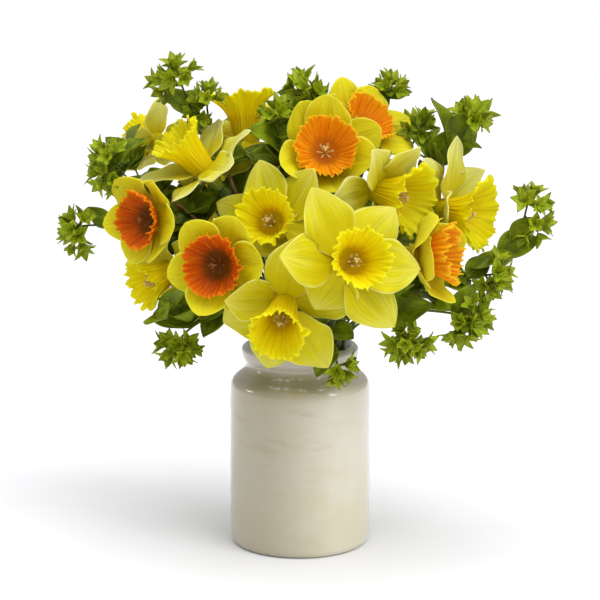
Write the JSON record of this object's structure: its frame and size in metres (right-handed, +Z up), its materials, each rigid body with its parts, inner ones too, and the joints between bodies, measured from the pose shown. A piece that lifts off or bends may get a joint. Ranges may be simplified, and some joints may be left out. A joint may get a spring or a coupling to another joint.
{
  "type": "daffodil bouquet in a jar",
  "caption": "Bouquet of yellow trumpet and orange-cupped daffodils with leafy sprays, standing in water in a cream glazed stoneware jar.",
  "frame": {"origin": "centre of the jar's flat base, on the surface it stands on", "axes": "+Z up along the jar's axis; -Y is the bouquet's front, the side the picture shows; +X is the viewer's right"},
  "size_m": [0.3478, 0.2663, 0.3484],
  "materials": {
    "glaze": "gloss",
    "water": "polished",
    "yellow_petal": "satin",
    "orange_cup": "satin",
    "stalk_green": "satin",
    "leaf_green": "satin"
  },
  "bodies": {
    "root": {"jar": "glaze", "water": "water", "daffodil_far_left": "yellow_petal", "stem_far_left": "stalk_green", "daffodil_top_left": "yellow_petal", "stem_top_left": "stalk_green", "daffodil_upper_left": "yellow_petal", "stem_upper_left": "stalk_green", "daffodil_left": "yellow_petal", "cup_left": "orange_cup", "stem_left": "stalk_green", "daffodil_front_left": "yellow_petal", "cup_front_left": "orange_cup", "stem_front_left": "stalk_green", "daffodil_centre": "yellow_petal", "stem_centre": "stalk_green", "daffodil_top": "yellow_petal", "cup_top": "orange_cup", "stem_top": "stalk_green", "daffodil_top_right": "yellow_petal", "cup_top_right": "orange_cup", "stem_top_right": "stalk_green", "daffodil_upper_right": "yellow_petal", "stem_upper_right": "stalk_green", "daffodil_far_right": "yellow_petal", "stem_far_right": "stalk_green", "daffodil_right": "yellow_petal", "cup_right": "orange_cup", "stem_right": "stalk_green", "daffodil_front_right": "yellow_petal", "stem_front_right": "stalk_green", "daffodil_front_low": "yellow_petal", "stem_front_low": "stalk_green", "daffodil_low_left": "yellow_petal", "stem_low_left": "stalk_green", "daffodil_back_left": "yellow_petal", "stem_back_left": "stalk_green", "daffodil_back": "yellow_petal", "cup_back": "orange_cup", "stem_back": "stalk_green", "daffodil_back_right": "yellow_petal", "stem_back_right": "stalk_green", "spray_top_left_tall": "leaf_green", "spray_top_left_short": "leaf_green", "spray_left_upper": "leaf_green", "spray_far_left": "leaf_green", "spray_top_centre": "leaf_green", "spray_top_right_back": "leaf_green", "spray_top_right_short": "leaf_green", "spray_right_tall": "leaf_green", "spray_far_right": "leaf_green", "spray_right_mid": "leaf_green", "spray_right_low": "leaf_green", "spray_front_right_low": "leaf_green", "spray_low_left": "leaf_green", "spray_lip": "leaf_green", "spray_inner": "leaf_green", "spray_back_left": "leaf_green", "spray_back_right": "leaf_green"}
  },
  "joints": []
}
